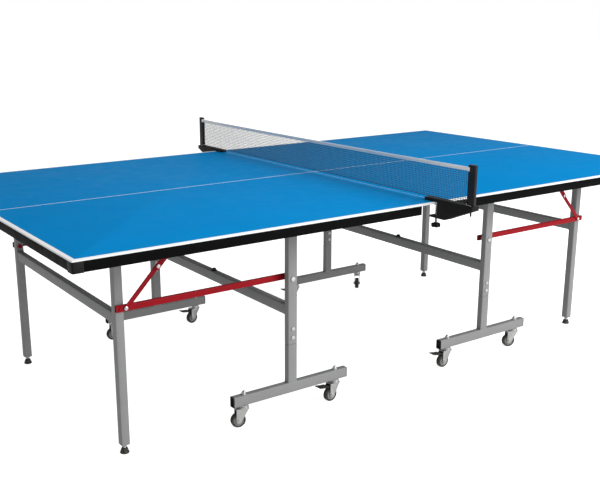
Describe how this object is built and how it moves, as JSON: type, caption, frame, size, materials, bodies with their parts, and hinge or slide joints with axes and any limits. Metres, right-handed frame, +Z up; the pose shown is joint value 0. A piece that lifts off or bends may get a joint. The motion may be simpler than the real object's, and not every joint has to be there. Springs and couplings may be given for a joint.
{
  "type": "ping pong table",
  "caption": "Folding, rolling table-tennis table: blue boards on black steel frames, with folding legs, wheeled trolleys and a clamp-on net.",
  "frame": {"origin": "on the floor, under the middle of the net", "axes": "+X along the table from the near half to the far half, +Y across it, +Z up"},
  "size_m": [2.74, 1.852, 0.909],
  "materials": {
    "board_blue": "satin blue coating with white lines",
    "frame_black": "satin black powder coat",
    "silver_paint": "silver grey powder coat",
    "red_paint": "red powder coat",
    "zinc": "bright zinc plate",
    "black_plastic": "moulded, fine grain",
    "post_black": "satin black",
    "rubber": "matte",
    "tyre": "smooth tread",
    "wheel_hub": "moulded grey",
    "net_mesh": "knotted dark mesh",
    "net_band": "white woven tape"
  },
  "bodies": {
    "near_trolley": {"near_trolley_frame": "silver_paint", "near_base_tees": "silver_paint", "near_base_caps": "black_plastic", "near_trolley_bolts": "zinc", "near_fold_buffer": "rubber"},
    "near_top": {"near_board": "board_blue", "near_top_frame": "frame_black", "near_hinge_plates": "frame_black", "near_frame_caps": "black_plastic", "net": "net_mesh", "front_net_bracket": "black_plastic", "back_net_bracket": "black_plastic", "front_net_post": "post_black", "back_net_post": "post_black"},
    "near_legs": {"near_leg_frame": "silver_paint", "near_leg_bolts": "zinc"},
    "near_links": {"near_link_bars": "red_paint"},
    "near_upper_stays": {"near_upper_stays": "red_paint"},
    "near_lower_stays": {"near_lower_stays": "red_paint"},
    "near_front_foot": {"near_front_foot": "black_plastic"},
    "near_front_inner_fork": {"near_front_inner_fork": "zinc"},
    "near_front_inner_wheel": {"near_front_inner_wheel": "tyre"},
    "near_front_pedal": {"near_front_pedal": "black_plastic"},
    "near_front_outer_fork": {"near_front_outer_fork": "zinc"},
    "near_front_outer_wheel": {"near_front_outer_wheel": "tyre"},
    "near_back_foot": {"near_back_foot": "black_plastic"},
    "near_back_inner_fork": {"near_back_inner_fork": "zinc"},
    "near_back_inner_wheel": {"near_back_inner_wheel": "tyre"},
    "near_back_pedal": {"near_back_pedal": "black_plastic"},
    "near_back_outer_fork": {"near_back_outer_fork": "zinc"},
    "near_back_outer_wheel": {"near_back_outer_wheel": "tyre"},
    "far_trolley": {"far_trolley_frame": "silver_paint", "far_base_tees": "silver_paint", "far_base_caps": "black_plastic", "far_trolley_bolts": "zinc", "far_fold_buffer": "rubber"},
    "far_top": {"far_board": "board_blue", "far_top_frame": "frame_black", "far_hinge_plates": "frame_black", "far_frame_caps": "black_plastic"},
    "far_legs": {"far_leg_frame": "silver_paint", "far_leg_bolts": "zinc"},
    "far_links": {"far_link_bars": "red_paint"},
    "far_upper_stays": {"far_upper_stays": "red_paint"},
    "far_lower_stays": {"far_lower_stays": "red_paint"},
    "far_front_foot": {"far_front_foot": "black_plastic"},
    "far_front_inner_fork": {"far_front_inner_fork": "zinc"},
    "far_front_inner_wheel": {"far_front_inner_wheel": "tyre"},
    "far_front_pedal": {"far_front_pedal": "black_plastic"},
    "far_front_outer_fork": {"far_front_outer_fork": "zinc"},
    "far_front_outer_wheel": {"far_front_outer_wheel": "tyre"},
    "far_back_foot": {"far_back_foot": "black_plastic"},
    "far_back_inner_fork": {"far_back_inner_fork": "zinc"},
    "far_back_inner_wheel": {"far_back_inner_wheel": "tyre"},
    "far_back_pedal": {"far_back_pedal": "black_plastic"},
    "far_back_outer_fork": {"far_back_outer_fork": "zinc"},
    "far_back_outer_wheel": {"far_back_outer_wheel": "tyre"},
    "front_clamp_screw": {"front_clamp_screw": "zinc"},
    "back_clamp_screw": {"back_clamp_screw": "zinc"}
  },
  "joints": [
    {"name": "near_fold", "type": "hinge", "parent": "near_trolley", "child": "near_top", "pos_m": [-0.49, 0, 0.7], "axis": [0, 1, 0], "range_deg": [0, 90]},
    {"name": "near_leg_swing", "type": "hinge", "parent": "near_top", "child": "near_legs", "pos_m": [-1.12, 0, 0.7], "axis": [0, 1, 0], "range_deg": [-90.5, 0]},
    {"name": "near_link_swing", "type": "hinge", "parent": "near_trolley", "child": "near_links", "pos_m": [-0.49, 0, 0.506], "axis": [0, 1, 0], "range_deg": [0, 90.5]},
    {"name": "near_upper_stay_swing", "type": "hinge", "parent": "near_top", "child": "near_upper_stays", "pos_m": [-0.885, 0, 0.735], "axis": [0, 1, 0], "range_deg": [-115, 0]},
    {"name": "near_lower_stay_swing", "type": "hinge", "parent": "near_links", "child": "near_lower_stays", "pos_m": [-1.104, 0, 0.506], "axis": [0, 1, 0], "range_deg": [0, 60]},
    {"name": "near_front_foot_screw", "type": "slide", "parent": "near_legs", "child": "near_front_foot", "axis": [0, 0, 1], "range_m": [-0.015, 0]},
    {"name": "near_front_inner_swivel", "type": "hinge", "parent": "near_trolley", "child": "near_front_inner_fork", "pos_m": [-0.29, -0.531, 0.076], "axis": [0, 0, 1], "continuous": true},
    {"name": "near_front_inner_roll", "type": "hinge", "parent": "near_front_inner_fork", "child": "near_front_inner_wheel", "pos_m": [-0.31195, -0.53253, 0.027], "axis": [-0.0698, 0.9976, 0], "continuous": true},
    {"name": "near_front_pedal_press", "type": "hinge", "parent": "near_front_inner_fork", "child": "near_front_pedal", "pos_m": [-0.30297, -0.53191, 0.0615], "axis": [0.0698, -0.9976, 0], "range_deg": [0, 14]},
    {"name": "near_front_outer_swivel", "type": "hinge", "parent": "near_trolley", "child": "near_front_outer_fork", "pos_m": [-0.69, -0.531, 0.076], "axis": [0, 0, 1], "continuous": true},
    {"name": "near_front_outer_roll", "type": "hinge", "parent": "near_front_outer_fork", "child": "near_front_outer_wheel", "pos_m": [-0.71135, -0.52568, 0.027], "axis": [0.2419, 0.9703, 0], "continuous": true},
    {"name": "near_back_foot_screw", "type": "slide", "parent": "near_legs", "child": "near_back_foot", "axis": [0, 0, 1], "range_m": [-0.015, 0]},
    {"name": "near_back_inner_swivel", "type": "hinge", "parent": "near_trolley", "child": "near_back_inner_fork", "pos_m": [-0.29, 0.531, 0.076], "axis": [0, 0, 1], "continuous": true},
    {"name": "near_back_inner_roll", "type": "hinge", "parent": "near_back_inner_fork", "child": "near_back_inner_wheel", "pos_m": [-0.31179, 0.52794, 0.027], "axis": [-0.1392, 0.9903, 0], "continuous": true},
    {"name": "near_back_pedal_press", "type": "hinge", "parent": "near_back_inner_fork", "child": "near_back_pedal", "pos_m": [-0.30287, 0.52919, 0.0615], "axis": [0.1392, -0.9903, 0], "range_deg": [0, 14]},
    {"name": "near_back_outer_swivel", "type": "hinge", "parent": "near_trolley", "child": "near_back_outer_fork", "pos_m": [-0.69, 0.531, 0.076], "axis": [0, 0, 1], "continuous": true},
    {"name": "near_back_outer_roll", "type": "hinge", "parent": "near_back_outer_fork", "child": "near_back_outer_wheel", "pos_m": [-0.71188, 0.5333, 0.027], "axis": [0.1045, 0.9945, 0], "continuous": true},
    {"name": "halves_apart", "type": "slide", "parent": "near_trolley", "child": "far_trolley", "axis": [1, 0, 0], "range_m": [0, 0.48]},
    {"name": "far_fold", "type": "hinge", "parent": "far_trolley", "child": "far_top", "pos_m": [0.49, 0, 0.7], "axis": [0, -1, 0], "range_deg": [0, 90]},
    {"name": "far_leg_swing", "type": "hinge", "parent": "far_top", "child": "far_legs", "pos_m": [1.12, 0, 0.7], "axis": [0, -1, 0], "range_deg": [-90.5, 0]},
    {"name": "far_link_swing", "type": "hinge", "parent": "far_trolley", "child": "far_links", "pos_m": [0.49, 0, 0.506], "axis": [0, -1, 0], "range_deg": [0, 90.5]},
    {"name": "far_upper_stay_swing", "type": "hinge", "parent": "far_top", "child": "far_upper_stays", "pos_m": [0.885, 0, 0.735], "axis": [0, -1, 0], "range_deg": [-115, 0]},
    {"name": "far_lower_stay_swing", "type": "hinge", "parent": "far_links", "child": "far_lower_stays", "pos_m": [1.104, 0, 0.506], "axis": [0, -1, 0], "range_deg": [0, 60]},
    {"name": "far_front_foot_screw", "type": "slide", "parent": "far_legs", "child": "far_front_foot", "axis": [0, 0, 1], "range_m": [-0.015, 0]},
    {"name": "far_front_inner_swivel", "type": "hinge", "parent": "far_trolley", "child": "far_front_inner_fork", "pos_m": [0.29, -0.531, 0.076], "axis": [0, 0, 1], "continuous": true},
    {"name": "far_front_inner_roll", "type": "hinge", "parent": "far_front_inner_fork", "child": "far_front_inner_wheel", "pos_m": [0.268, -0.531, 0.027], "axis": [0, 1, 0], "continuous": true},
    {"name": "far_front_pedal_press", "type": "hinge", "parent": "far_front_inner_fork", "child": "far_front_pedal", "pos_m": [0.277, -0.531, 0.0615], "axis": [0, -1, 0], "range_deg": [0, 14]},
    {"name": "far_front_outer_swivel", "type": "hinge", "parent": "far_trolley", "child": "far_front_outer_fork", "pos_m": [0.69, -0.531, 0.076], "axis": [0, 0, 1], "continuous": true},
    {"name": "far_front_outer_roll", "type": "hinge", "parent": "far_front_outer_fork", "child": "far_front_outer_wheel", "pos_m": [0.6696, -0.52276, 0.027], "axis": [0.3746, 0.9272, 0], "continuous": true},
    {"name": "far_back_foot_screw", "type": "slide", "parent": "far_legs", "child": "far_back_foot", "axis": [0, 0, 1], "range_m": [-0.015, 0]},
    {"name": "far_back_inner_swivel", "type": "hinge", "parent": "far_trolley", "child": "far_back_inner_fork", "pos_m": [0.29, 0.531, 0.076], "axis": [0, 0, 1], "continuous": true},
    {"name": "far_back_inner_roll", "type": "hinge", "parent": "far_back_inner_fork", "child": "far_back_inner_wheel", "pos_m": [0.268, 0.531, 0.027], "axis": [0, 1, 0], "continuous": true},
    {"name": "far_back_pedal_press", "type": "hinge", "parent": "far_back_inner_fork", "child": "far_back_pedal", "pos_m": [0.277, 0.531, 0.0615], "axis": [0, -1, 0], "range_deg": [0, 14]},
    {"name": "far_back_outer_swivel", "type": "hinge", "parent": "far_trolley", "child": "far_back_outer_fork", "pos_m": [0.69, 0.531, 0.076], "axis": [0, 0, 1], "continuous": true},
    {"name": "far_back_outer_roll", "type": "hinge", "parent": "far_back_outer_fork", "child": "far_back_outer_wheel", "pos_m": [0.67586, 0.51415, 0.027], "axis": [-0.766, 0.6428, 0], "continuous": true},
    {"name": "front_clamp_screw_turn", "type": "slide", "parent": "near_top", "child": "front_clamp_screw", "axis": [0, 0, -1], "range_m": [0, 0.012]},
    {"name": "back_clamp_screw_turn", "type": "slide", "parent": "near_top", "child": "back_clamp_screw", "axis": [0, 0, -1], "range_m": [0, 0.012]}
  ],
  "couplings": [
    {"joint": "near_leg_swing", "follows": "near_fold", "ratio": -1},
    {"joint": "near_link_swing", "follows": "near_fold", "ratio": 1},
    {"joint": "near_upper_stay_swing", "follows": "near_fold", "ratio": -1.2367},
    {"joint": "near_lower_stay_swing", "follows": "near_fold", "ratio": 0.6009},
    {"joint": "halves_apart", "follows": "near_fold", "m_per_rad": 0.3},
    {"joint": "far_leg_swing", "follows": "far_fold", "ratio": -1},
    {"joint": "far_link_swing", "follows": "far_fold", "ratio": 1},
    {"joint": "far_upper_stay_swing", "follows": "far_fold", "ratio": -1.2367},
    {"joint": "far_lower_stay_swing", "follows": "far_fold", "ratio": 0.6009}
  ]
}
